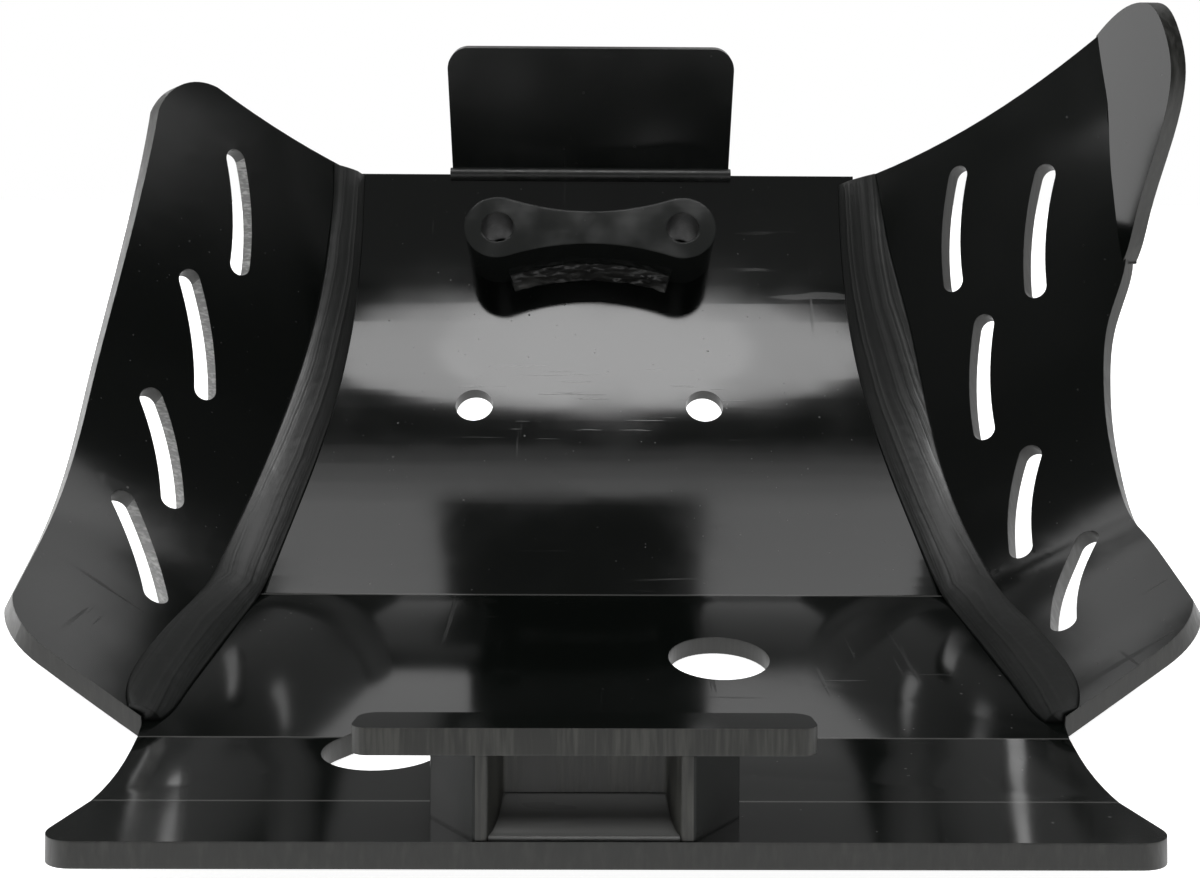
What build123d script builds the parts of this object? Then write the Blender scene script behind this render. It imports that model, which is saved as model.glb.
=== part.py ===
from build123d import *
import math
import os

os.makedirs("parts", exist_ok=True)

# Sheet that the plate, wings, tab and bar are cut from
sheet_t = 6.35

# Main plate, seen from the side: lip, ramp, floor, then a rising arc
floor_half_w = 145.5
far_half_w = 124.5
lip_half_w = 131.0
front_half_w = 133.0
lip_len = 29.5
lip_rise = 13.5
ramp_len = 50.0
ramp_rise = 10.0
floor_len = 115.0
floor_bend = 23.0
arc_r = 300.0
arc_deg = 44.0
crease_r = 4.0
front_corner_r = 9.0

# Line that the hook, the bolt holes, the block and the tab are centred on
mount_x = -5.5

# Large holes in the floor and the ramp
drain_d = 35.0
drain_x = 40.0
drain_along = 57.0
ramp_hole_x = -64.0
ramp_hole_along = 10.5

# Small holes on the arc
small_d = 17.0
small_pitch = 105.0
small_at = 20.2

# Wings: angle from the plate's own normal at the near and far ends
splay_near = 58.0
splay_far = 36.0
root_bury = 1.0
wing_lift = 1.6
bend_lead = 20.0
wing_near_at = 8.6
wing_near_slant = 0.213
wing_near_line = 37.0
wing_near_r = 29.0
wing_near_turn = 60.0
wing_near_h = 49.8
wing_near_run = 23.0
trim_far = 0.4
left_far_r = 26.5
left_far_h = 102.4
left_far_bow = 1.6
left_far_slant = 0.153
left_top_run = 35.0
right_far_under = 4.8
right_far_bow = 6.8
right_far_slant = 0.127
slot_w = 9.5
slot_bow = 2.5

# Slots of each wing: share of the run along the plate, share of the wing's height, lean in degrees, length
left_slots = [(0.856, 0.563, 12.5, 56.0), (0.644, 0.606, 27.0, 56.0), (0.464, 0.598, 33.0, 52.0),
              (0.308, 0.53, 37.6, 55.5)]
right_slots = [(0.844, 0.409, 12.8, 57.0), (0.777, 0.716, 18.8, 55.0), (0.606, 0.424, 20.0, 56.0),
               (0.409, 0.478, 27.1, 50.0), (0.248, 0.508, 32.0, 55.5)]

# Bent-in tip of the right wing
fold_run = 115.9
fold_h = 113.0
tip_w = 38.9
fold_top_h = 129.1
fold_deg = 28.0
fold_lap = 1.0

# Wing weld runs
weld_edge = 0.9
weld_on_plate = 11.0
weld_draw_in = 3.5
weld_on_wing = 8.5
weld_swell = 10.5
weld_crown = 1.2
weld_bury = 0.6

# End tab on the far edge
tab_w = 136.0
tab_h = 60.0
tab_lean = 104.0
tab_corner_r = 10.0
tab_weld_r = 3.2
tab_weld_over = 2.0

# Bone-shaped bolt block
block_at = 36.0
block_h = 28.0
block_pitch = 86.0
block_lobe_r = 15.5
block_waist = 16.6
block_bore_d = 15.0
plate_bore_d = 13.0
block_weld_h = 7.0
block_weld_w = 6.0
block_weld_half_deg = 19.0

# Hook on the lip
hook_set_back = 0.4
hook_h = 19.7
hook_depth = 18.5
hook_far_half = 39.0
hook_near_half = 25.4
notch_near_half = 22.4
notch_back_half = 19.5
notch_depth = 12.0
hook_edge_r = 1.2
bar_len = 108.6
bar_depth = 15.0
bar_corner_r = 4.5
notch_weld_h = 7.5
rear_weld = 5.0


def up_normal(slope):
    # inside normal of the plate in the side view
    return (-math.sin(math.radians(slope)), math.cos(math.radians(slope)))


def forward(slope):
    # direction along the plate, away from the lip
    return (math.cos(math.radians(slope)), math.sin(math.radians(slope)))


# Corner points of the inside face in the side view; the middle of the floor's underside is the origin
ramp_crease = (-floor_len / 2, sheet_t)
lip_crease = (ramp_crease[0] - ramp_len * forward(-ramp_rise)[0],
              ramp_crease[1] - ramp_len * forward(-ramp_rise)[1])
lip_front = (lip_crease[0] - lip_len * forward(-lip_rise)[0],
             lip_crease[1] - lip_len * forward(-lip_rise)[1])
floor_crease = (ramp_crease[0] + floor_len, sheet_t)
arc_centre = (floor_crease[0] + arc_r * up_normal(floor_bend)[0],
              floor_crease[1] + arc_r * up_normal(floor_bend)[1])
far_slope = floor_bend + arc_deg
arc_len = math.radians(arc_deg) * arc_r
edge_len = floor_len + arc_len
fold_from = edge_len - fold_run


def on_arc(deg, radius):
    # point of the arc, by its angle past the floor crease
    nrm = up_normal(floor_bend + deg)
    return (arc_centre[0] - radius * nrm[0], arc_centre[1] - radius * nrm[1])


def station(s):
    # inside face point and slope, by the run along the plate from the ramp crease
    if s < 0:
        slope = -ramp_rise
        along = forward(slope)
        return ramp_crease[0] + s * along[0], ramp_crease[1] + s * along[1], slope
    if s <= floor_len:
        return ramp_crease[0] + s, sheet_t, 0.0
    if s <= edge_len:
        deg = math.degrees((s - floor_len) / arc_r)
        point = on_arc(deg, arc_r)
        return point[0], point[1], floor_bend + deg
    point = on_arc(arc_deg, arc_r)
    along = forward(far_slope)
    over = s - edge_len
    return point[0] + over * along[0], point[1] + over * along[1], far_slope


def ease(part):
    # smooth step from nought to one
    part = min(max(part, 0.0), 1.0)
    return part * part * (3 - 2 * part)


def half_w(s):
    # half width of the plate: widest on the floor, drawn in towards the far edge and the lip
    far_from = floor_len * 0.78
    near_from = floor_len * 0.39
    far_part = ease((s - far_from) / (edge_len * 0.9 - far_from))
    near_part = ease((near_from - s) / (near_from + ramp_len))
    return floor_half_w - (floor_half_w - far_half_w) * far_part - (floor_half_w - lip_half_w) * near_part


def plate_plane(s, x):
    # plane on the inside face, X across, Z along the inside normal
    y, z, slope = station(s)
    nrm = up_normal(slope)
    return Plane(origin=(x, y, z), x_dir=(1, 0, 0), z_dir=(0, nrm[0], nrm[1]))


def under(point, slope_a, slope_b):
    # underside corner below an inside corner
    mid = up_normal((slope_a + slope_b) / 2)
    reach = sheet_t / math.cos(math.radians((slope_b - slope_a) / 2))
    return (point[0] - reach * mid[0], point[1] - reach * mid[1])


def plan_prism():
    # outline of the plate seen from above, as a tall prism
    rows = [-k * ramp_len for k in (1.0, 0.6, 0.16)]
    rows += [k * edge_len for k in (0.05, 0.13, 0.23, 0.33, 0.44, 0.55, 0.67, 0.78, 0.9)]
    rows += [edge_len + sheet_t]
    edge = [(half_w(s), station(s)[0]) for s in rows]
    mirrored = [(-x, y) for x, y in edge]
    top = edge[-1][1] + 3 * sheet_t
    front = (front_half_w, lip_front[0] - sheet_t)
    plan = [
        Line(front, edge[0]),
        Spline(*edge),
        Polyline(edge[-1], (edge[-1][0], top), (-edge[-1][0], top), mirrored[-1]),
        Spline(*mirrored[::-1]),
        Line(mirrored[0], (-front[0], front[1])),
        Line((-front[0], front[1]), front),
    ]
    return extrude(make_face(plan), amount=2 * edge_len, both=True)


def plate_blank():
    # bent sheet without holes
    far_in = on_arc(arc_deg, arc_r)
    far_out = on_arc(arc_deg, arc_r + sheet_t)
    lip_low = under(lip_front, -lip_rise, -lip_rise)
    crease_low = under(lip_crease, -lip_rise, -ramp_rise)
    ramp_low = under(ramp_crease, -ramp_rise, 0.0)
    floor_low = (arc_centre[0] + math.sqrt((arc_r + sheet_t) ** 2 - arc_centre[1] ** 2), 0.0)
    start_low = math.degrees(math.atan2(floor_low[0] - arc_centre[0], arc_centre[1])) - floor_bend
    outline = [
        Polyline(lip_front, lip_crease, ramp_crease, floor_crease),
        ThreePointArc(floor_crease, on_arc(arc_deg / 2, arc_r), far_in),
        Line(far_in, far_out),
        ThreePointArc(far_out, on_arc((arc_deg + start_low) / 2, arc_r + sheet_t), floor_low),
        Polyline(floor_low, ramp_low, crease_low, lip_low, lip_front),
    ]
    side = make_face(outline)
    inner = [v for v in side.vertices()
             if (v.center() - Vector(*ramp_crease)).length < 0.01
             or (v.center() - Vector(*floor_crease)).length < 0.01]
    side = fillet(inner, crease_r)
    outer = [v for v in side.vertices()
             if (v.center() - Vector(*ramp_low)).length < 0.01
             or (v.center() - Vector(*floor_low)).length < 0.01]
    side = fillet(outer, crease_r + sheet_t)
    body = extrude(Plane.YZ * side, amount=floor_half_w + 2 * sheet_t, both=True)
    body = body & plan_prism()
    corners = body.edges().filter_by(lambda e: e.length < 1.2 * sheet_t).group_by(Axis.Y)[0]
    return fillet(corners, front_corner_r)


def through(s, x, diameter):
    # drill across the sheet at a run along the plate
    return plate_plane(s, x) * Cylinder(diameter / 2, 6 * sheet_t)


def block_s():
    return floor_len + math.radians(block_at) * arc_r


def small_s():
    return floor_len + math.radians(small_at) * arc_r


def make_plate(blank):
    body = blank
    body -= through(drain_along, drain_x, drain_d)
    body -= through(-ramp_hole_along, ramp_hole_x, drain_d)
    for k in (-0.5, 0.5):
        body -= through(small_s(), mount_x + k * small_pitch, small_d)
        body -= through(block_s(), mount_x + k * block_pitch, plate_bore_d)
    return body


def splay(s):
    # angle between a wing and the plate's normal, easing from near to far
    part = min(max(s / edge_len, -0.05), 1.05)
    return splay_near + (splay_far - splay_near) * part


def tilt(s):
    # lean of the wing's cross-sections, eased along the whole run so that the wing bends smoothly
    part = min(max((s + bend_lead) / (edge_len + bend_lead), 0.0), 1.0)
    return far_slope * part ** 1.2


def wing_frame(s, side):
    # plate edge, section normal, way up the wing, inside normal, inside corner, way along the plate
    y, z, slope = station(s)
    local = Vector(0, *up_normal(slope))
    nrm = Vector(0, *up_normal(tilt(s)))
    way = Vector(0, *forward(slope))
    out = Vector(side, 0, 0)
    a = math.radians(splay(s))
    drop = sheet_t - wing_lift
    low = Vector(side * half_w(s), y, z) - local * drop
    root = low + nrm * (drop / math.cos(math.radians(tilt(s) - slope)))
    rise = out * math.sin(a) + nrm * math.cos(a)
    inward = nrm * math.sin(a) - out * math.cos(a)
    foot = low + nrm * (sheet_t / math.sin(a))
    return root, nrm, rise, inward, foot, way


def wing_point(s, h, side):
    # point on the inside face of a wing
    frame = wing_frame(s, side)
    return frame[4] + frame[2] * h


def wing_section(s, h, side, slant):
    # one cross-section of a wing, its root a little inside the plate's edge
    root, nrm, rise, inward, foot, way = wing_frame(s, side)
    lean = rise + way * slant
    start = foot - lean * root_bury
    low = start - inward * sheet_t - lean * (sheet_t / math.tan(math.radians(splay(s))))
    tip = foot + lean * h
    return make_face(Polyline(low, start, tip, tip - inward * sheet_t, close=True))


def slot_tool(slot, height, side):
    # curved slot cut square to the wing, bowed towards the root
    s = slot[0] * edge_len
    h = slot[1] * height(s)
    lean = math.radians(slot[2])
    length = slot[3]
    run = length * math.cos(lean) / 2
    rise = length * math.sin(lean) / 2
    top = wing_point(s + run, h + rise, side)
    low = wing_point(s - run, h - rise, side)
    inward = wing_frame(s, side)[3]
    mid = wing_point(s, h, side)
    span = (top - low).normalized()
    plane = Plane(origin=mid, x_dir=span, z_dir=inward)
    to_root = wing_frame(s, side)[2] * -1
    bow = slot_bow if to_root.dot(plane.y_dir) > 0 else -slot_bow
    half = (length - slot_w) / 2
    line = ThreePointArc((-half, -bow / 3), (0, 2 * bow / 3), (half, -bow / 3))
    return plane * extrude(SlotArc(line, slot_w), amount=4 * sheet_t, both=True)


def near_trim(side):
    # tool that leaves the slanted near edge and its wide round corner
    root, nrm, rise, inward, foot, way = wing_frame(0.0, side)
    plane = Plane(origin=foot, x_dir=way, z_dir=inward)
    up = 1 if plane.y_dir.dot(rise) > 0 else -1
    lean = math.atan(wing_near_slant)
    start = (wing_near_at + wing_near_slant * wing_near_line, wing_near_line)
    centre = (start[0] + wing_near_r * math.cos(lean), start[1] - wing_near_r * math.sin(lean))

    def at(turn):
        angle = math.pi - lean - math.radians(turn)
        return (centre[0] + wing_near_r * math.cos(angle), centre[1] + wing_near_r * math.sin(angle))

    mid = at(wing_near_turn / 2)
    end = at(wing_near_turn)
    last = math.pi - lean - math.radians(wing_near_turn)
    out = (end[0] + wing_near_r * math.sin(last), end[1] - wing_near_r * math.cos(last))
    clear = 2 * wing_near_r
    low = (wing_near_at - wing_near_slant * clear, -clear)
    corners = [out, (out[0], out[1] + clear), (low[0] - clear, out[1] + clear), (low[0] - clear, low[1]), low]
    outline = [
        Line((low[0], low[1] * up), (start[0], start[1] * up)),
        ThreePointArc((start[0], start[1] * up), (mid[0], mid[1] * up), (end[0], end[1] * up)),
        Polyline((end[0], end[1] * up), *[(x, h * up) for x, h in corners]),
    ]
    return plane * extrude(make_face(outline), amount=4 * sheet_t, both=True)


def far_trim(side):
    # tool that leaves the left wing's slanted far edge and its round corner
    root, nrm, rise, inward, foot, way = wing_frame(edge_len, side)
    plane = Plane(origin=foot, x_dir=way, z_dir=inward)
    up = 1 if plane.y_dir.dot(rise) > 0 else -1
    high = left_far_h + trim_far
    side_y = high - left_far_r
    side_x = left_far_slant * side_y
    top_x = side_x - left_far_r * 0.82
    clear = 6 * sheet_t
    low = (-left_far_slant * clear, -clear * up)
    outline = [
        Line(low, (0, 0)),
        ThreePointArc((0, 0), (side_x / 2 - left_far_bow, side_y / 2 * up), (side_x, side_y * up)),
        ThreePointArc((side_x, side_y * up), (side_x - left_far_r * 0.19, (high - left_far_r * 0.37) * up),
                      (top_x, high * up)),
        Polyline((top_x, high * up), (top_x, 2 * high * up), (high, 2 * high * up), (high, -clear * up), low),
    ]
    return plane * extrude(make_face(outline), amount=8 * sheet_t, both=True)


def right_far_trim():
    # tool that leaves the right wing's hollow far edge, up to the fold
    root, nrm, rise, inward, foot, way = wing_frame(edge_len, 1)
    plane = Plane(origin=foot, x_dir=way, z_dir=inward)
    up = 1 if plane.y_dir.dot(rise) > 0 else -1
    low = (-right_far_under, 0)
    top = (right_far_slant * fold_top_h, fold_top_h * up)
    mid = ((low[0] + top[0]) / 2 - right_far_bow * 0.8, fold_top_h * 0.53 * up)
    clear = 2 * sheet_t
    outline = [
        Line((low[0], -clear * up), low),
        ThreePointArc(low, mid, top),
        Polyline(top, (top[0] + clear, top[1]), (top[0] + clear, -clear * up), (low[0], -clear * up)),
    ]
    return plane * extrude(make_face(outline), amount=4 * sheet_t, both=True)


def left_height(s):
    # height of the left wing: rises in a slow wave and is level before the far edge
    part = (s - wing_near_run) / (edge_len - left_top_run - wing_near_run)
    part = min(max(part, 0.0), 1.0)
    return wing_near_h + (left_far_h - wing_near_h) * math.sin(math.pi / 2 * part ** 1.2)


def right_height(s):
    # height of the right wing up to its fold: a straight rise that grows steeper
    part = (s - wing_near_run) / (fold_from - wing_near_run)
    return wing_near_h + (fold_h - wing_near_h) * (part + max(part, 0.0) ** 4) / 2


def make_left_wing(plan):
    rows = [k * edge_len for k in (-0.04, 0.06, 0.15, 0.28, 0.4, 0.52, 0.64, 0.76, 0.88, 1.0, 1.09)]
    body = loft([wing_section(s, left_height(s), -1, 0.0) for s in rows])
    body -= near_trim(-1)
    body -= far_trim(-1)
    for slot in left_slots:
        body -= slot_tool(slot, left_height, -1)
    return body - plan


def fold_ends():
    # fold line of the bent-in tip on the inside face of the right wing
    low = wing_point(fold_from, fold_h, 1)
    frame = wing_frame(edge_len, 1)
    top = frame[4] + (frame[2] + frame[5] * right_far_slant) * fold_top_h
    return low, top


def fold_height(s):
    # height on the wing where the fold line passes
    low, top = fold_ends()
    axis = (top - low).normalized()
    frame = wing_frame(s, 1)
    gap = low - frame[4]
    rise = frame[2]
    shared = rise.dot(axis)
    return (gap.dot(rise) - gap.dot(axis) * shared) / (1 - shared * shared)


def full_right_height(s):
    return right_height(s) if s < fold_from else fold_height(s)


def make_tip():
    # flat bent-in tip and its bend
    low, top = fold_ends()
    axis = (top - low).normalized()
    flat = wing_frame((fold_from + edge_len) / 2, 1)[3]
    flat = (flat - axis * flat.dot(axis)).normalized()
    out = axis.cross(flat)
    out = out if out.X > 0 else out * -1
    b = math.radians(fold_deg)
    across = out * math.cos(b) + flat * math.sin(b)
    face_n = flat * math.cos(b) - out * math.sin(b)
    start = low - out * fold_lap
    length = (top - low).length
    plane = Plane(origin=start, x_dir=axis, z_dir=axis.cross(across))
    outline = [
        Line((length, -fold_lap), (0, -fold_lap)),
        Spline((0, -fold_lap), (0.075 * length, 0.13 * tip_w), (0.175 * length, 0.27 * tip_w),
               (0.305 * length, 0.48 * tip_w), (0.51 * length, 0.83 * tip_w), (0.685 * length, tip_w),
               (0.85 * length, 0.97 * tip_w), (0.98 * length, 0.82 * tip_w), (1.032 * length, 0.55 * tip_w),
               (1.03 * length, 0.25 * tip_w), (length, -fold_lap)),
    ]
    sheet = plane * extrude(make_face(outline), amount=sheet_t * (1 if plane.z_dir.dot(face_n) < 0 else -1))
    strip = make_face(Polyline(start, start + axis * length, start + axis * length - face_n * sheet_t,
                               start - face_n * sheet_t, close=True))
    spin = Axis(start, axis)
    turn = -fold_deg if (axis.cross(across)).dot(face_n) > 0 else fold_deg
    bend = revolve(strip, spin, turn)
    return sheet + bend


def make_right_wing(plan):
    rows = [k * fold_from for k in (-0.06, 0.04, 0.14, 0.26, 0.38, 0.5, 0.6, 0.7, 0.8, 0.9)]
    sections = [wing_section(s, right_height(s), 1, 0.0) for s in rows]
    for k in (0.0, 0.2, 0.4, 0.6, 0.8):
        s = fold_from + k * fold_run
        sections.append(wing_section(s, fold_height(s), 1, 0.0))
    sections.append(wing_section(edge_len, fold_top_h, 1, right_far_slant))
    body = loft(sections)
    body -= near_trim(1)
    body -= right_far_trim()
    body += make_tip()
    for slot in right_slots:
        body -= slot_tool(slot, full_right_height, 1)
    return body - plan


def make_wing_weld(side, plate, wing):
    # smooth run that fills the inside corner, its edges stepped up a little
    faces = []
    start = wing_near_at + 3 * weld_bury
    rows = [(k, 1.0) for k in (0.12, 0.2, 0.28, 0.394, 0.507, 0.623, 0.753, 0.883)]
    rows = [(0.0, 0.5), (0.02, 0.75), (0.06, 0.93)] + rows + [(1.0, 1.0)]
    for k, full in rows:
        s = start + k * (edge_len - weld_bury - start)
        root, nrm, rise, inward, foot, way = wing_frame(s, side)
        out = Vector(side, 0, 0)
        part = s / edge_len
        on_plate = weld_on_plate - weld_draw_in * ease((part - 0.55) / 0.4)
        on_wing = weld_on_wing
        if side > 0 and part > 0.43:
            on_wing += weld_swell * math.sin(math.pi * (part - 0.43) / 0.67) ** 2
        a = root - out * on_plate * full
        c = foot + rise * on_wing * full
        low = a - nrm * weld_bury
        plate_edge = a + nrm * weld_edge
        wing_edge = c + inward * weld_edge
        mid = (plate_edge + wing_edge) * 0.5 + (nrm + inward).normalized() * weld_crown
        high = c - inward * weld_bury
        corner = root + out * weld_bury - nrm * weld_bury
        faces.append(make_face([
            Line(low, plate_edge), ThreePointArc(plate_edge, mid, wing_edge),
            Line(wing_edge, high), Line(high, corner), Line(corner, low)]))
    raw = loft(faces) - plate - wing - (right_far_trim() if side > 0 else far_trim(side))
    return max(raw.solids(), key=lambda piece: piece.volume)


def cut_away():
    # everything below a plane, over the tab's width
    deep = tab_h + 2 * sheet_t
    return Pos(0, 0, -deep) * Box(2 * tab_w, 2 * deep, 2 * deep)


def make_tab():
    far_in = on_arc(arc_deg, arc_r)
    lean = forward(tab_lean)
    back = up_normal(tab_lean)
    plane = Plane(origin=(mount_x, far_in[0], far_in[1]), x_dir=(1, 0, 0), z_dir=(0, back[0], back[1]))
    size = Rectangle(tab_w, tab_h + sheet_t * 2)
    size = Pos(0, tab_h / 2 - sheet_t) * size
    size = fillet(size.vertices().group_by(Axis.Y)[-1], tab_corner_r)
    body = plane * extrude(size, amount=-sheet_t)
    face = Plane(origin=(0, far_in[0], far_in[1]), x_dir=(1, 0, 0), z_dir=(0, *forward(far_slope)))
    return body - face * cut_away()


def make_tab_weld(plate, tab):
    far_in = on_arc(arc_deg, arc_r)
    run = tab_w + tab_weld_over
    raw = Pos(mount_x, far_in[0], far_in[1]) * Rot(0, 90, 0) * Cylinder(tab_weld_r, run)
    face = Plane(origin=(0, far_in[0], far_in[1]), x_dir=(1, 0, 0), z_dir=(0, *up_normal(far_slope)))
    return raw - face * cut_away() - plate - tab


def block_waist_r():
    half = block_pitch / 2
    neck = block_waist / 2
    return (half ** 2 + neck ** 2 - block_lobe_r ** 2) / (2 * (block_lobe_r - neck))


def make_block(blank):
    ring = block_waist_r()
    reach = block_waist / 2 + ring
    tangent = block_pitch / 2 * ring / (ring + block_lobe_r)
    bone = Rectangle(2 * tangent, 2 * block_lobe_r)
    for k in (-1, 1):
        bone -= Pos(0, k * reach) * Circle(ring)
    for k in (-0.5, 0.5):
        bone += Pos(k * block_pitch, 0) * Circle(block_lobe_r)
        bone -= Pos(k * block_pitch, 0) * Circle(block_bore_d / 2)
    plane = plate_plane(block_s(), mount_x)
    body = extrude(bone, amount=block_h)
    body += extrude(bone, amount=-sheet_t / 2)
    return plane * body - blank


def make_block_weld(blank, block):
    ring = block_waist_r()
    reach = block_waist / 2 + ring
    outline = Polyline((ring + 1, -sheet_t / 2), (ring - block_weld_w, -sheet_t / 2),
                       (ring - block_weld_w, 1.2), (ring - block_weld_w * 0.45, block_weld_h * 0.8),
                       (ring + 1, block_weld_h), close=True)
    face = Plane.XZ * make_face(outline)
    turn = Rot(0, 0, 90 - block_weld_half_deg)
    raw = Pos(0, -reach, 0) * turn * revolve(face, Axis.Z, 2 * block_weld_half_deg)
    return plate_plane(block_s(), mount_x) * raw - blank - block


def lip_plane():
    nrm = up_normal(-lip_rise)
    return Plane(origin=(mount_x, lip_front[0], lip_front[1]), x_dir=(1, 0, 0), z_dir=(0, nrm[0], nrm[1]))


def make_hook_block():
    far = hook_set_back + hook_depth
    back = hook_set_back + notch_depth
    shape = make_face(Polyline(
        (-hook_near_half, hook_set_back), (-notch_near_half, hook_set_back), (-notch_back_half, back),
        (notch_back_half, back), (notch_near_half, hook_set_back), (hook_near_half, hook_set_back),
        (hook_far_half, far), (-hook_far_half, far), close=True))
    shape = fillet(shape.vertices(), hook_edge_r)
    return lip_plane() * extrude(shape, amount=hook_h)


def make_hook_bar():
    bar = Pos(0, hook_set_back + bar_depth / 2, hook_h + sheet_t / 2) * Box(bar_len, bar_depth, sheet_t)
    bar = fillet(bar.edges().filter_by(Axis.Z), bar_corner_r)
    return lip_plane() * bar


def make_notch_weld(block):
    # hollow run in the notch, high at its back wall
    back = hook_set_back + notch_depth
    front = hook_set_back + 0.6
    outline = [
        Line((front, 0), (back + 1, 0)),
        Line((back + 1, 0), (back + 1, notch_weld_h)),
        Line((back + 1, notch_weld_h), (back - 0.4, notch_weld_h)),
        ThreePointArc((back - 0.4, notch_weld_h), (back - notch_depth * 0.33, notch_weld_h * 0.38), (front, 1.0)),
        Line((front, 1.0), (front, 0)),
    ]
    raw = extrude(Plane.YZ * make_face(outline), amount=notch_near_half - 0.3, both=True)
    return lip_plane() * raw - block


def make_rear_weld(block, plate):
    far = hook_set_back + hook_depth
    outline = Polyline((far - 1, 0), (far + rear_weld, 0), (far + rear_weld, 0.8), (far, rear_weld),
                       (far - 1, rear_weld), close=True)
    raw = extrude(Plane.YZ * make_face(outline), amount=hook_far_half - rear_weld, both=True)
    return lip_plane() * raw - block - plate


def main():
    blank = plate_blank()
    plate = make_plate(blank)
    plan = plan_prism()
    left = make_left_wing(plan)
    right = make_right_wing(plan)
    tab = make_tab()
    block = make_block(blank)
    hook = make_hook_block()
    parts = {
        "main_plate": plate,
        "left_wing": left,
        "right_wing": right,
        "left_wing_weld": make_wing_weld(-1, blank, left),
        "right_wing_weld": make_wing_weld(1, blank, right),
        "end_tab": tab,
        "tab_weld": make_tab_weld(blank, tab),
        "mount_block": block,
        "mount_block_weld": make_block_weld(blank, block),
        "hook_block": hook,
        "hook_bar": make_hook_bar(),
        "hook_weld_notch": make_notch_weld(hook),
        "hook_weld_rear": make_rear_weld(hook, blank),
    }
    for name, shape in parts.items():
        export_step(shape, "parts/" + name + ".step")
        box = shape.bounding_box()
        print(name, len(shape.solids()), round(shape.volume), box.min, box.max)


main()
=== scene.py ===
import bmesh
import bpy
import math
from mathutils import Matrix, Vector, noise
from mathutils.bvhtree import BVHTree


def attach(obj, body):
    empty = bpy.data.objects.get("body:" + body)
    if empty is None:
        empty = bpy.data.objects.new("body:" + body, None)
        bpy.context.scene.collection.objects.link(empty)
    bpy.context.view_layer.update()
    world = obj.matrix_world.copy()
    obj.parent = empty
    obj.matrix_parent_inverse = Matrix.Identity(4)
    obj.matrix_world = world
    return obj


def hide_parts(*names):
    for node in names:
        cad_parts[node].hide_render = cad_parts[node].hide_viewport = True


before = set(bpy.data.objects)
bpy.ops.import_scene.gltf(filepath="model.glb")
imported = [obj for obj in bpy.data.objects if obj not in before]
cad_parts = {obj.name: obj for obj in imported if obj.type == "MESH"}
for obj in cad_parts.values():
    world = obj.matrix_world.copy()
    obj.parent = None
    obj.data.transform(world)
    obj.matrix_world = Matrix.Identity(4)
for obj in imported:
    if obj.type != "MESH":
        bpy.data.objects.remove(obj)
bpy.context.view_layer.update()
print("frame loaded", len(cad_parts), "nodes")


# Camera at the photograph's viewing angle
cameraView = {"place": (-0.00396, -0.37141, 0.17508), "pitch": 13.79, "yaw": -0.375, "roll": 0.329,
              "lens": 34.75, "sensor": 36, "near": 0.02}


def addCamera(view):
    data = bpy.data.cameras.new("studioCamera")
    data.lens = view["lens"]
    data.sensor_width = view["sensor"]
    data.sensor_fit = "HORIZONTAL"
    data.clip_start = view["near"]
    camera = bpy.data.objects.new("studioCamera", data)
    bpy.context.scene.collection.objects.link(camera)
    turn = Matrix.Rotation(math.radians(view["yaw"]), 4, "Z")
    turn = turn @ Matrix.Rotation(math.radians(90 - view["pitch"]), 4, "X")
    turn = turn @ Matrix.Rotation(math.radians(view["roll"]), 4, "Z")
    camera.matrix_world = Matrix.Translation(view["place"]) @ turn
    bpy.context.scene.camera = camera


addCamera(cameraView)


# Shader building blocks, all on object coordinates in metres
def feed(tree, target, source):
    if isinstance(source, bpy.types.NodeSocket):
        tree.links.new(source, target)
    else:
        target.default_value = source


def combine(tree, kind, first, second):
    node = tree.nodes.new("ShaderNodeMath")
    node.operation = kind
    feed(tree, node.inputs[0], first)
    feed(tree, node.inputs[1], second)
    return node.outputs[0]


def spread(tree, source, low, high, start=0.0, end=1.0):
    node = tree.nodes.new("ShaderNodeMapRange")
    node.interpolation_type = "SMOOTHSTEP"
    feed(tree, node.inputs["Value"], source)
    node.inputs["From Min"].default_value = low
    node.inputs["From Max"].default_value = high
    node.inputs["To Min"].default_value = start
    node.inputs["To Max"].default_value = end
    return node.outputs["Result"]


def place(tree, stretch, turn):
    spot = tree.nodes.new("ShaderNodeTexCoord")
    move = tree.nodes.new("ShaderNodeMapping")
    move.inputs["Rotation"].default_value = [math.radians(a) for a in turn]
    move.inputs["Scale"].default_value = stretch
    tree.links.new(spot.outputs["Object"], move.inputs["Vector"])
    return move.outputs["Vector"]


def grain(tree, scale, detail=2.0, stretch=(1, 1, 1), turn=(0, 0, 0)):
    node = tree.nodes.new("ShaderNodeTexNoise")
    node.inputs["Scale"].default_value = scale
    node.inputs["Detail"].default_value = detail
    tree.links.new(place(tree, stretch, turn), node.inputs["Vector"])
    return node.outputs["Fac"]


def specks(tree, scale, size):
    node = tree.nodes.new("ShaderNodeTexVoronoi")
    node.inputs["Scale"].default_value = scale
    tree.links.new(place(tree, (1, 1, 1), (0, 0, 0)), node.inputs["Vector"])
    dot = spread(tree, node.outputs["Distance"], size * 0.4, size, 1.0, 0.0)
    tint = tree.nodes.new("ShaderNodeSeparateColor")
    tree.links.new(node.outputs["Color"], tint.inputs["Color"])
    return combine(tree, "MULTIPLY", dot, spread(tree, tint.outputs["Red"], 0.72, 0.98))


def blendColour(tree, part, first, second):
    node = tree.nodes.new("ShaderNodeMix")
    node.data_type = "RGBA"
    feed(tree, node.inputs["Factor"], part)
    node.inputs["A"].default_value = (*first, 1)
    node.inputs["B"].default_value = (*second, 1)
    return node.outputs["Result"]


def along(tree, axis):
    spot = tree.nodes.new("ShaderNodeTexCoord")
    split = tree.nodes.new("ShaderNodeSeparateXYZ")
    tree.links.new(spot.outputs["Object"], split.inputs["Vector"])
    return split.outputs[axis]


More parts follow.
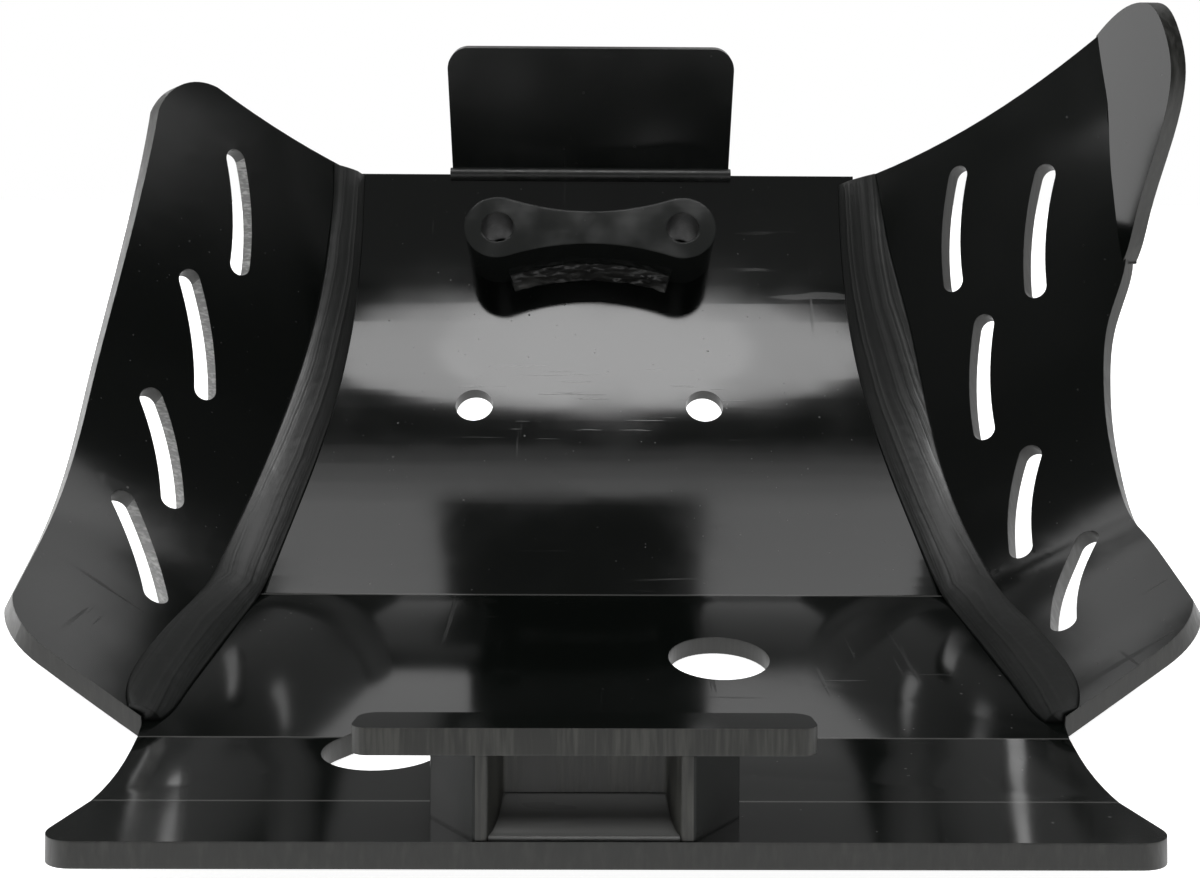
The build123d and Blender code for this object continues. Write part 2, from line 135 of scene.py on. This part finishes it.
def bumps(tree, height, strength, distance, normal=None):
    node = tree.nodes.new("ShaderNodeBump")
    node.inputs["Strength"].default_value = strength
    node.inputs["Distance"].default_value = distance
    tree.links.new(height, node.inputs["Height"])
    if normal:
        tree.links.new(normal, node.inputs["Normal"])
    return node.outputs["Normal"]


def rounded(tree, radius):
    node = tree.nodes.new("ShaderNodeBevel")
    node.samples = 2
    node.inputs["Radius"].default_value = radius
    return node.outputs["Normal"]


def bowed(tree, bow):
    lowest = tree.nodes.new("ShaderNodeMath")
    lowest.operation = "SMOOTH_MIN"
    tree.links.new(along(tree, bow["axis"]), lowest.inputs[0])
    lowest.inputs[1].default_value = bow["until"]
    lowest.inputs[2].default_value = bow["soft"]
    return bumps(tree, combine(tree, "MULTIPLY", lowest.outputs[0], bow["slope"]), 1.0, 1.0)


def creases(tree, places):
    total = None
    for spot in places:
        away = combine(tree, "ABSOLUTE", combine(tree, "SUBTRACT", along(tree, "Y"), spot), 0.0)
        line = spread(tree, away, 0.0002, 0.0007, 1.0, 0.0)
        total = combine(tree, "MAXIMUM", total, line) if total else line
    return total


def blankMaterial(name):
    material = bpy.data.materials.new(name)
    material.use_nodes = True
    return material, material.node_tree, material.node_tree.nodes["Principled BSDF"].inputs


# Glossy sheet: faint waviness, patches of fine scratches, handling haze and dust; on the plate a thin line
# along each bend crease is painted lighter, a painted highlight
sheetLook = {"dark": (0.0032, 0.0041, 0.0035), "dustAndCreaseLight": (0.16, 0.16, 0.155), "gloss": 0.08, "haze": 0.05,
             "waves": 45}
sheetMarks = {"wornSpots": 16, "coarseDust": (120, 0.085), "fineDust": (330, 0.12), "dustClouds": 9,
              "hazeClouds": 22, "scratchRough": 0.16, "dustRough": 0.3, "dustShade": 0.75,
              "scratchShade": 0.06, "creaseHighlight": 0.5, "rubShade": 0.35, "waveHeight": 0.6,
              "scratchDepth": 0.12, "strength": 0.1, "depth": 0.0006}
scratchRuns = ({"scale": 260, "stretch": (1, 0.045, 0.045), "turn": (8, 12, 38), "cut": (0.66, 0.7)},
               {"scale": 230, "stretch": (0.05, 1, 0.05), "turn": (-15, 20, -28), "cut": (0.67, 0.71)})
plateCreases = (0.0575, -0.0575, -0.1067)
rubPlace = {"y": 0.147, "half": 0.075, "reach": 0.02, "scale": 700, "stretch": (0.03, 1, 1)}
floorBow = {"axis": "Y", "until": 0.3, "soft": 0.01, "slope": 0.085}
wingBow = {"axis": "Y", "until": 0.05, "soft": 0.06, "slope": 0.085}
tipBow = {"axis": "Z", "until": 0.6, "soft": 0.01, "slope": -0.14}
tabBow = {"axis": "Z", "until": 0.6, "soft": 0.01, "slope": 0.105}


def rubbed(tree, spot):
    lines = spread(tree, grain(tree, spot["scale"], 2, spot["stretch"]), 0.66, 0.7)
    side = combine(tree, "ABSOLUTE", along(tree, "X"), 0.0)
    inside = spread(tree, side, spot["half"] * 0.6, spot["half"], 1.0, 0.0)
    away = combine(tree, "ABSOLUTE", combine(tree, "SUBTRACT", along(tree, "Y"), spot["y"]), 0.0)
    level = spread(tree, away, spot["reach"] * 0.5, spot["reach"], 1.0, 0.0)
    return combine(tree, "MULTIPLY", lines, combine(tree, "MULTIPLY", inside, level))


def sheetMaterial(name, look, bow=None, lines=()):
    material, tree, ports = blankMaterial(name)
    runs = [spread(tree, grain(tree, run["scale"], 3, run["stretch"], run["turn"]), *run["cut"])
            for run in scratchRuns]
    marks = sheetMarks
    markShare = spread(tree, grain(tree, marks["wornSpots"], 2), 0.5, 0.7)
    scratch = combine(tree, "MULTIPLY", combine(tree, "MAXIMUM", *runs), markShare)
    dust = combine(tree, "MAXIMUM", specks(tree, *marks["coarseDust"]), specks(tree, *marks["fineDust"]))
    clouds = spread(tree, grain(tree, marks["dustClouds"], 2), 0.4, 0.65, 0.1, 1.0)
    dust = combine(tree, "MULTIPLY", dust, clouds)
    haze = spread(tree, grain(tree, marks["hazeClouds"], 4), 0.35, 0.75, 0.0, look["haze"])
    rough = combine(tree, "ADD", haze, combine(tree, "MULTIPLY", scratch, marks["scratchRough"]))
    rough = combine(tree, "ADD", rough, combine(tree, "MULTIPLY", dust, marks["dustRough"]))
    feed(tree, ports["Roughness"], combine(tree, "ADD", rough, look["gloss"]))
    grimeAndCreaseLight = combine(tree, "MULTIPLY", dust, marks["dustShade"])
    grimeAndCreaseLight = combine(tree, "ADD", grimeAndCreaseLight, combine(tree, "MULTIPLY", scratch, marks["scratchShade"]))
    if lines:
        # Painted highlight: thin lines along the plate's bend creases are blended towards the pale colour.
        paintedCreaseLine = combine(tree, "MULTIPLY", creases(tree, lines), marks["creaseHighlight"])
        rub = rubbed(tree, rubPlace)
        scratch = combine(tree, "MAXIMUM", scratch, rub)
        grimeAndCreaseLight = combine(tree, "ADD", grimeAndCreaseLight, paintedCreaseLine)
        grimeAndCreaseLight = combine(tree, "ADD", grimeAndCreaseLight, combine(tree, "MULTIPLY", rub, marks["rubShade"]))
    feed(tree, ports["Base Color"], blendColour(tree, grimeAndCreaseLight, look["dark"], look["dustAndCreaseLight"]))
    wave = combine(tree, "MULTIPLY", grain(tree, look["waves"], 1), marks["waveHeight"])
    relief = combine(tree, "SUBTRACT", wave, combine(tree, "MULTIPLY", scratch, marks["scratchDepth"]))
    lean = bowed(tree, bow) if bow else None
    feed(tree, ports["Normal"], bumps(tree, relief, marks["strength"], marks["depth"], lean))
    return material


# Cut edges: satin, with fine tool marks across the sheet
edgeLook = {"dark": (0.015, 0.0155, 0.0135), "pale": (0.036, 0.036, 0.033), "gloss": 0.36,
            "rounding": 0.0007, "fine": 520, "coarse": 150, "share": 0.25, "stretch": (1, 1, 0.12)}
# Painted light: the left wing's outline cuts that face the left lamp get these paler colours, standing in
# for the lamp's light on them.
lampLitEdgeLook = {**edgeLook, "dark": (0.06, 0.06, 0.058), "pale": (0.12, 0.12, 0.116)}
sawLook = {"dark": (0.018, 0.0185, 0.016), "pale": (0.062, 0.062, 0.055), "gloss": 0.4, "rounding": 0.0007,
           "fine": 900, "coarse": 170, "share": 0.45, "stretch": (1, 0.07, 0.07)}
# Painted light: the left wing's slot walls that face the left lamp get this pale colour for the lamp's
# light on them; the streaks are saw marks.
lampLitSlotLook = {"dark": (0.09, 0.09, 0.087), "pale": (0.42, 0.42, 0.41), "gloss": 0.45, "rounding": 0.0005,
            "fine": 1100, "coarse": 320, "share": 0.4, "stretch": (0.2, 0.2, 1)}


def edgeMaterial(name, look):
    material, tree, ports = blankMaterial(name)
    marks = combine(tree, "MULTIPLY", grain(tree, look["fine"], 3, look["stretch"]), 1 - look["share"])
    coarse = combine(tree, "MULTIPLY", grain(tree, look["coarse"], 2, look["stretch"]), look["share"])
    mix = combine(tree, "ADD", marks, coarse)
    lighter = spread(tree, mix, 0.42, 0.72)
    feed(tree, ports["Base Color"], blendColour(tree, lighter, look["dark"], look["pale"]))
    feed(tree, ports["Roughness"], spread(tree, mix, 0.3, 0.7, look["gloss"] - 0.06, look["gloss"] + 0.12))
    feed(tree, ports["Normal"], bumps(tree, mix, 0.35, 0.0004, rounded(tree, look["rounding"])))
    return material


# Weld runs: smooth melted beads with soft lumps; their pale drawn-out streaks are painted highlights beside
# dust specks, the seams carry painted shade, and the long runs are painted lighter towards their far end
weldLook = {"dark": (0.016, 0.017, 0.0163), "pale": (0.08, 0.08, 0.077), "gloss": 0.36, "rounding": 0.0008,
            "lump": 90, "runs": {"scale": 420, "wander": 0.003}, "stretch": (1, 0.14, 0.14),
            "lightAlongRun": {"from": 0.0, "to": 0.13, "shine": (0.22, 0.9), "pale": (0.3, 1.25)}}
# Painted glints: the ragged bead under the block gets a much paler streak and speck colour, standing in for
# glints on its lumps, beside dust.
ridgeLook = {"dark": (0.02, 0.02, 0.019), "pale": (0.2, 0.2, 0.19), "gloss": 0.26, "rounding": 0.0004,
             "lump": 260, "stretch": (0.14, 1, 1)}
# Painted light: the weld in the shaded notch is coloured far paler than the other welds, standing in for
# the bright floor it reflects.
notchLightLook = {"dark": (0.16, 0.161, 0.157), "pale": (0.45, 0.45, 0.44), "gloss": 0.3, "rounding": 0.0008,
             "lump": 70, "stretch": (0.12, 1, 1)}


def runLines(tree, runs):
    across = tree.nodes.new("ShaderNodeAttribute")
    across.attribute_name = "across"
    wander = combine(tree, "MULTIPLY", grain(tree, 25, 2), runs["wander"])
    node = tree.nodes.new("ShaderNodeTexNoise")
    node.noise_dimensions = "1D"
    node.inputs["Detail"].default_value = 2.0
    node.inputs["Scale"].default_value = runs["scale"]
    feed(tree, node.inputs["W"], combine(tree, "ADD", across.outputs["Fac"], wander))
    return node.outputs["Fac"]


def weldMaterial(name, look, seamed=False):
    material, tree, ports = blankMaterial(name)
    streak = runLines(tree, look["runs"]) if seamed else grain(tree, 130, 3, look["stretch"])
    lumps = grain(tree, look["lump"], 2)
    # Pale share: dust specks, plus streaks painted lighter as highlights along the bead.
    markShare = combine(tree, "MAXIMUM", specks(tree, 220, 0.1), spread(tree, streak, 0.5, 0.8, 0.0, 0.5))
    if seamed:
        # Painted shade along the seams: where the welds meet the sheets, pale marks and sheen are taken
        # out.
        rim = tree.nodes.new("ShaderNodeAttribute")
        rim.attribute_name = "seam"
        clear = combine(tree, "SUBTRACT", 1.0, rim.outputs["Fac"])
        # Painted light along the long runs: pale marks and sheen grow from the near, lower end towards the
        # far, upper end.
        ends = (look["lightAlongRun"]["from"], look["lightAlongRun"]["to"])
        paintedRunLight = spread(tree, along(tree, "Y"), *ends, *look["lightAlongRun"]["pale"])
        markShare = combine(tree, "MULTIPLY", combine(tree, "MULTIPLY", markShare, clear), paintedRunLight)
        shine = spread(tree, along(tree, "Y"), *ends, *look["lightAlongRun"]["shine"])
        feed(tree, ports["Specular IOR Level"], combine(tree, "MULTIPLY", clear, shine))
    feed(tree, ports["Base Color"], blendColour(tree, markShare, look["dark"], look["pale"]))
    rough = spread(tree, streak, 0.3, 0.7, look["gloss"] - 0.05, look["gloss"] + 0.12)
    feed(tree, ports["Roughness"], rough)
    relief = combine(tree, "ADD", lumps, combine(tree, "MULTIPLY", streak, 0.5 if seamed else 0.18))
    feed(tree, ports["Normal"], bumps(tree, relief, 0.3, 0.0012, rounded(tree, look["rounding"])))
    return material


# Cut blocks: satin faces with faint cutter lines, worn spots and dust
blockLook = {"dark": (0.014, 0.0155, 0.0145), "pale": (0.045, 0.047, 0.045), "gloss": 0.1,
             "rounding": 0.0011, "shine": 0.5}
hookLook = {**blockLook, "gloss": 0.16, "shine": 0.18}
boreLook = {"dark": (0.012, 0.0125, 0.012), "pale": (0.03, 0.03, 0.029), "gloss": 0.55, "rounding": 0.0004,
            "fine": 700, "coarse": 200, "share": 0.3, "stretch": (1, 1, 1)}


def blockMaterial(name, look):
    material, tree, ports = blankMaterial(name)
    lines = grain(tree, 500, 2, (0.05, 1, 1), (0, 0, 4))
    patch = grain(tree, 40, 4)
    dust = specks(tree, 260, 0.11)
    markShare = combine(tree, "MAXIMUM", dust, spread(tree, patch, 0.55, 0.8, 0.0, 0.3))
    feed(tree, ports["Base Color"], blendColour(tree, markShare, look["dark"], look["pale"]))
    feed(tree, ports["Roughness"], spread(tree, patch, 0.3, 0.7, look["gloss"] - 0.05, look["gloss"] + 0.1))
    ports["Specular IOR Level"].default_value = look["shine"]
    feed(tree, ports["Normal"], bumps(tree, lines, 0.06, 0.0003, rounded(tree, look["rounding"])))
    return material


sheet = sheetMaterial("blackSheet", sheetLook)
plateSheet = sheetMaterial("blackPlate", sheetLook, None, plateCreases)
floorSheet = sheetMaterial("blackFloor", sheetLook, floorBow, plateCreases)
wingSheet = sheetMaterial("blackWing", {**sheetLook, "gloss": 0.17}, wingBow)
tipSheet = sheetMaterial("blackTip", sheetLook, tipBow)
tabSheet = sheetMaterial("blackTab", {**sheetLook, "gloss": 0.2}, tabBow)
edge = edgeMaterial("cutEdge", edgeLook)
saw = edgeMaterial("sawnFront", sawLook)
lampLitSlotCut = edgeMaterial("lampLitSlotWall", lampLitSlotLook)
lampLitEdge = edgeMaterial("lampLitEdge", lampLitEdgeLook)
weld = weldMaterial("weldBead", weldLook)
seamWeld = weldMaterial("weldRun", weldLook, True)
ridge = weldMaterial("weldRidge", ridgeLook)
notchLitWeld = weldMaterial("weldNotchPaintedLight", notchLightLook)
block = blockMaterial("satinBlock", blockLook)
hookCut = blockMaterial("satinHook", hookLook)
bore = edgeMaterial("drilledBore", boreLook)
print("materials made")


# Sheet pieces: a copy of each, its narrow cut faces told from its broad faces
def mergedCopy(name, label):
    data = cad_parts[name].data.copy()
    data.name = label
    mesh = bmesh.new()
    mesh.from_mesh(data)
    bmesh.ops.remove_doubles(mesh, verts=mesh.verts[:], dist=1e-6)
    return data, mesh


def narrowFaces(mesh, limit, width):
    left = set(mesh.faces)
    narrow = []
    while left:
        seed = left.pop()
        patch, queue, rim, area = [seed], [seed], 0.0, 0.0
        while queue:
            face = queue.pop()
            area += face.calc_area()
            for side in face.edges:
                if len(side.link_faces) == 2 and side.calc_face_angle(3.0) < limit:
                    for other in side.link_faces:
                        if other in left:
                            left.discard(other)
                            patch.append(other)
                            queue.append(other)
                else:
                    rim += side.calc_length()
        if 2 * area < width * rim:
            narrow.append(patch)
    return narrow


def patchReach(patch):
    spots = [vert.co for face in patch for vert in face.verts]
    spans = [max(axis) - min(axis) for axis in zip(*spots)]
    return math.hypot(*spans)


# The plate's arc is cut finer on its true curve, so that reflections run smooth
arcShape = {"creaseY": 0.0575, "creaseZ": 0.00635, "radius": 0.3, "sheet": 0.00635, "first": 23, "last": 67,
            "slack": 0.0004}


def smoothArc(mesh, arc):
    bend = math.radians(arc["first"])
    centreY = arc["creaseY"] - arc["radius"] * math.sin(bend)
    centreZ = arc["creaseZ"] + arc["radius"] * math.cos(bend)
    for deg in range(arc["first"] + 1, arc["last"]):
        turn = math.radians(deg)
        geom = mesh.verts[:] + mesh.edges[:] + mesh.faces[:]
        bmesh.ops.bisect_plane(mesh, geom=geom, dist=1e-6, plane_co=(0, centreY, centreZ),
                               plane_no=(0, math.cos(turn), math.sin(turn)))
    for vert in mesh.verts:
        away = Vector((0, vert.co.y - centreY, vert.co.z - centreZ))
        turn = math.degrees(math.atan2(away.y, -away.z))
        for radius in (arc["radius"], arc["radius"] + arc["sheet"]):
            near = abs(away.length - radius) < arc["slack"]
            if near and arc["first"] < turn < arc["last"]:
                vert.co.y = centreY + away.y * radius / away.length
                vert.co.z = centreZ + away.z * radius / away.length


# Broad faces by piece: the floor's top and the bent tip have their own bow
broadShape = {"level": 0.999, "floor": 0.00635, "slack": 0.0005, "tipFacing": -0.9, "tipAbove": 0.12}


def plateSlot(face):
    height = face.calc_center_median().z
    onFloor = abs(height - broadShape["floor"]) < broadShape["slack"]
    return 2 if face.normal.z > broadShape["level"] and onFloor else 0


def tipSlot(face):
    height = face.calc_center_median().z
    return 2 if face.normal.x < broadShape["tipFacing"] and height > broadShape["tipAbove"] else 0


def plainSlot(face):
    return 0


sheetPieces = {
    "main_plate": {"label": "bentPlate", "slots": (plateSheet, edge, floorSheet), "pick": plateSlot},
    "left_wing": {"label": "leftWing", "slots": (wingSheet, edge, lampLitSlotCut, lampLitEdge), "pick": plainSlot},
    "right_wing": {"label": "rightWing", "slots": (wingSheet, edge, tipSheet), "pick": tipSlot},
    "end_tab": {"label": "endTab", "slots": (tabSheet, edge), "pick": plainSlot},
    "hook_bar": {"label": "hookBar", "slots": (sheet, saw), "pick": plainSlot},
}


# Cut faces are narrow; a slot's wall reaches less far than slotReach, the outline's edge farther
cutShape = {"angle": 22, "width": 0.0095, "slotReach": 0.07, "sharp": 24, "lampFacing": -0.5}


def finishPiece(name, label, data, mesh, slots):
    for face in mesh.faces:
        face.smooth = True
    for side in mesh.edges:
        kinds = set(face.material_index for face in side.link_faces)
        side.smooth = len(kinds) == 1 and side.calc_face_angle(3.0) < math.radians(cutShape["sharp"])
    data.materials.clear()
    for material in slots:
        data.materials.append(material)
    mesh.to_mesh(data)
    mesh.free()
    piece = bpy.data.objects.new(label, data)
    bpy.context.scene.collection.objects.link(piece)
    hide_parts(name)
    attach(piece, "root")


for name, piece in sheetPieces.items():
    data, mesh = mergedCopy(name, piece["label"])
    for face in mesh.faces:
        face.material_index = piece["pick"](face)
    for patch in narrowFaces(mesh, math.radians(cutShape["angle"]), cutShape["width"]):
        # On the left wing, cuts that face the lamp take the paler lamp-lit materials, which is painted
        # light.
        lampSlot = 2 if patchReach(patch) < cutShape["slotReach"] else 3
        for face in patch:
            lit = name == "left_wing" and face.normal.x < cutShape["lampFacing"]  # cuts that face the lamp
            face.material_index = lampSlot if lit else 1
    if name == "main_plate":
        smoothArc(mesh, arcShape)
    finishPiece(name, piece["label"], data, mesh, piece["slots"])
print("sheet pieces done")


# The bolt block's drilled bores are duller than its faces
boreShape = {"x": (-0.0485, 0.0375), "y": 0.185431, "z": 0.135201, "axis": (0, -0.857167, 0.515038),
             "reach": 0.0085}


def boreSlot(face, shape):
    axis = Vector(shape["axis"])
    if abs(face.normal.dot(axis)) > 0.5:
        return 0
    for x in shape["x"]:
        away = face.calc_center_median() - Vector((x, shape["y"], shape["z"]))
        if (away - axis * away.dot(axis)).length < shape["reach"]:
            return 1
    return 0


data, mesh = mergedCopy("mount_block", "boltBlock")
for face in mesh.faces:
    face.material_index = boreSlot(face, boreShape)
finishPiece("mount_block", "boltBlock", data, mesh, (block, bore))


# The hook block's front and notch show the saw's marks, its slanted flanks are smooth
hookShape = {"middle": -0.0055, "flankFacing": 0.3, "rearFacing": 0.5}


def hookSlot(face, shape):
    aside = face.calc_center_median().x - shape["middle"]
    flank = abs(face.normal.x) > shape["flankFacing"] and aside * face.normal.x > 0
    return 1 if not flank and face.normal.y < shape["rearFacing"] else 0


data, mesh = mergedCopy("hook_block", "hookBlock")
for face in mesh.faces:
    face.material_index = hookSlot(face, hookShape)
finishPiece("hook_block", "hookBlock", data, mesh, (hookCut, saw))


# The bead under the block is ragged: cut finer and roughened
ridgeShape = {"cuts": 5, "scale": (150, 420, 420), "height": 0.0006, "fineShare": 0.5, "finer": 2.3}


def roughBead(mesh, shape):
    bmesh.ops.subdivide_edges(mesh, edges=mesh.edges[:], cuts=shape["cuts"], use_grid_fill=True)
    mesh.normal_update()
    for vert in mesh.verts:
        spot = vert.co * Vector(shape["scale"])
        lift = noise.noise(spot) + shape["fineShare"] * noise.noise(spot * shape["finer"])
        vert.co += vert.normal * lift * shape["height"]


data, mesh = mergedCopy("mount_block_weld", "blockWeld")
roughBead(mesh, ridgeShape)
finishPiece("mount_block_weld", "blockWeld", data, mesh, (ridge,))


# The long welds keep their form; along their borders, where they run out on the sheets, a dark seam of
# painted shade is laid
seamShape = {"cuts": 2, "near": 0.0002, "far": 0.0011}
longWelds = {"left_wing_weld": ("leftWeldRun", "left_wing"),
             "right_wing_weld": ("rightWeldRun", "right_wing")}


def surfaceTree(name):
    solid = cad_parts[name].data
    return BVHTree.FromPolygons([v.co for v in solid.vertices], [p.vertices for p in solid.polygons])


def markSeam(mesh, trees, shape):
    seam = mesh.verts.layers.float.new("seam")
    across = mesh.verts.layers.float.new("across")
    for vert in mesh.verts:
        gaps = [tree.find_nearest(vert.co)[3] for tree in trees]
        # seam: 1 at the sheets' faces, fading out by far; the weld material paints shade there
        vert[seam] = min(max((shape["far"] - min(gaps)) / (shape["far"] - shape["near"]), 0.0), 1.0)
        vert[across] = gaps[0] - gaps[1]


plateTree = surfaceTree("main_plate")
for name, (label, wing) in longWelds.items():
    data, mesh = mergedCopy(name, label)
    bmesh.ops.subdivide_edges(mesh, edges=mesh.edges[:], cuts=seamShape["cuts"], use_grid_fill=True)
    markSeam(mesh, (plateTree, surfaceTree(wing)), seamShape)
    finishPiece(name, label, data, mesh, (seamWeld,))


# Other pieces keep their solids
plainPieces = {"tab_weld": weld, "hook_weld_notch": notchLitWeld, "hook_weld_rear": weld}
for name, material in plainPieces.items():
    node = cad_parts[name]
    node.data.materials.clear()
    node.data.materials.append(material)
print("welds and blocks done")


# Floor and lights
floorShape = {"half": 4, "drop": 0.0005, "shade": 0.9, "rough": 0.9, "glow": 0.92}


def addFloor(shape):
    mesh = bmesh.new()
    bmesh.ops.create_grid(mesh, x_segments=1, y_segments=1, size=shape["half"])
    data = bpy.data.meshes.new("paleFloor")
    mesh.to_mesh(data)
    mesh.free()
    floor = bpy.data.objects.new("paleFloor", data)
    bpy.context.scene.collection.objects.link(floor)
    floor.location = (0, 0, -shape["drop"])
    material, tree, ports = blankMaterial("paleFloorPaint")
    ports["Base Color"].default_value = (shape["shade"], shape["shade"], shape["shade"], 1)
    ports["Roughness"].default_value = shape["rough"]
    ports["Emission Color"].default_value = (1, 1, 1, 1)
    ports["Emission Strength"].default_value = shape["glow"]
    data.materials.append(material)


wallShape = {"radius": 3.5, "foot": -0.0005, "top": 2.4, "from": -20, "to": 200, "steps": 44}
wallGlow = {"lamp": (-3.5, -2.7, 2.4, 1.0), "left": (-2.5, -1.0, 2.0, 1.1), "back": (0.8, 1.6, 0.0, 0.9),
            "right": (0.0, 2.0, 0.0, 0.55), "fade": (0.35, 0.75, 1.0, 0.02)}


def addWall(shape, glow):
    mesh = bmesh.new()
    rows = []
    for step in range(shape["steps"] + 1):
        turn = math.radians(shape["from"] + (shape["to"] - shape["from"]) * step / shape["steps"])
        x, y = shape["radius"] * math.cos(turn), shape["radius"] * math.sin(turn)
        rows.append([mesh.verts.new((x, y, z)) for z in (shape["foot"], shape["top"])])
    for one, two in zip(rows, rows[1:]):
        mesh.faces.new((one[0], one[1], two[1], two[0]))
    data = bpy.data.meshes.new("paleWall")
    mesh.to_mesh(data)
    mesh.free()
    wall = bpy.data.objects.new("paleWall", data)
    bpy.context.scene.collection.objects.link(wall)
    material, tree, ports = blankMaterial("paleWallPaint")
    ports["Base Color"].default_value = (0.02, 0.02, 0.02, 1)
    ports["Emission Color"].default_value = (1, 1, 1, 1)
    lamp = spread(tree, along(tree, "X"), *glow["lamp"])
    side = combine(tree, "MULTIPLY", lamp, spread(tree, along(tree, "X"), *glow["left"]))
    back = spread(tree, along(tree, "Y"), *glow["back"])
    raised = combine(tree, "MAXIMUM", back, spread(tree, along(tree, "X"), *glow["right"]))
    fade = spread(tree, combine(tree, "SUBTRACT", along(tree, "Z"), raised), *glow["fade"])
    feed(tree, ports["Emission Strength"], combine(tree, "MULTIPLY", side, fade))
    data.materials.append(material)
    wall.visible_camera = False  # the white room stands behind the part from every side


lightPanels = {
    "overheadBox": {"shape": "ELLIPSE", "x": (-0.5, 0.5), "y": (-0.505, -0.05), "bright": 6.2},
    "overheadCore": {"shape": "ELLIPSE", "x": (-0.27, 0.27), "y": (-0.49, -0.065), "bright": 1.8,
                     "drop": 0.03},
    "frontFill": {"shape": "RECTANGLE", "x": (-0.9, 0.9), "y": (-1.7, -0.56), "bright": 0.13},
    "rearEdge": {"shape": "RECTANGLE", "x": (-0.9, 0.9), "y": (0.08, 0.14), "bright": 0.5},
    "rearMiddle": {"shape": "RECTANGLE", "x": (-0.9, 0.9), "y": (0.14, 0.2), "bright": 1.1},
    "rearInner": {"shape": "RECTANGLE", "x": (-0.9, 0.9), "y": (0.2, 0.27), "bright": 1.5},
    "leftFlank": {"shape": "RECTANGLE", "x": (-0.95, -0.263), "y": (0.27, 1.1), "bright": 1.9},
    "rightFlank": {"shape": "RECTANGLE", "x": (0.186, 0.95), "y": (0.27, 1.1), "bright": 1.9},
    "leftBack": {"shape": "RECTANGLE", "x": (-0.95, -0.263), "y": (1.1, 2.4), "bright": 1.3},
    "rightBack": {"shape": "RECTANGLE", "x": (0.186, 0.95), "y": (1.1, 2.4), "bright": 1.3},
}
panelHeight = 1.5


def addPanel(name, panel):
    data = bpy.data.lights.new(name, "AREA")
    data.shape = panel["shape"]
    data.size = panel["x"][1] - panel["x"][0]
    data.size_y = panel["y"][1] - panel["y"][0]
    share = math.pi / 4 if panel["shape"] == "ELLIPSE" else 1.0
    data.energy = panel["bright"] * math.pi * data.size * data.size_y * share
    light = bpy.data.objects.new(name, data)
    bpy.context.scene.collection.objects.link(light)
    light.location = (sum(panel["x"]) / 2, sum(panel["y"]) / 2, panelHeight - panel.get("drop", 0.0))
    light.visible_camera = False


def addRoom(seen, reflected):
    world = bpy.data.worlds.new("studioRoom")
    world.use_nodes = True
    tree = world.node_tree
    ray = tree.nodes.new("ShaderNodeLightPath")
    strength = spread(tree, ray.outputs["Is Camera Ray"], 0, 1, reflected, seen)
    tree.nodes["Background"].inputs["Color"].default_value = (1, 1, 1, 1)
    tree.links.new(strength, tree.nodes["Background"].inputs["Strength"])
    bpy.context.scene.world = world
    bpy.context.scene.view_settings.view_transform = "Standard"


addFloor(floorShape)
addWall(wallShape, wallGlow)
for name, panel in lightPanels.items():
    addPanel(name, panel)
addRoom(1.0, 0.07)
print("stage set")
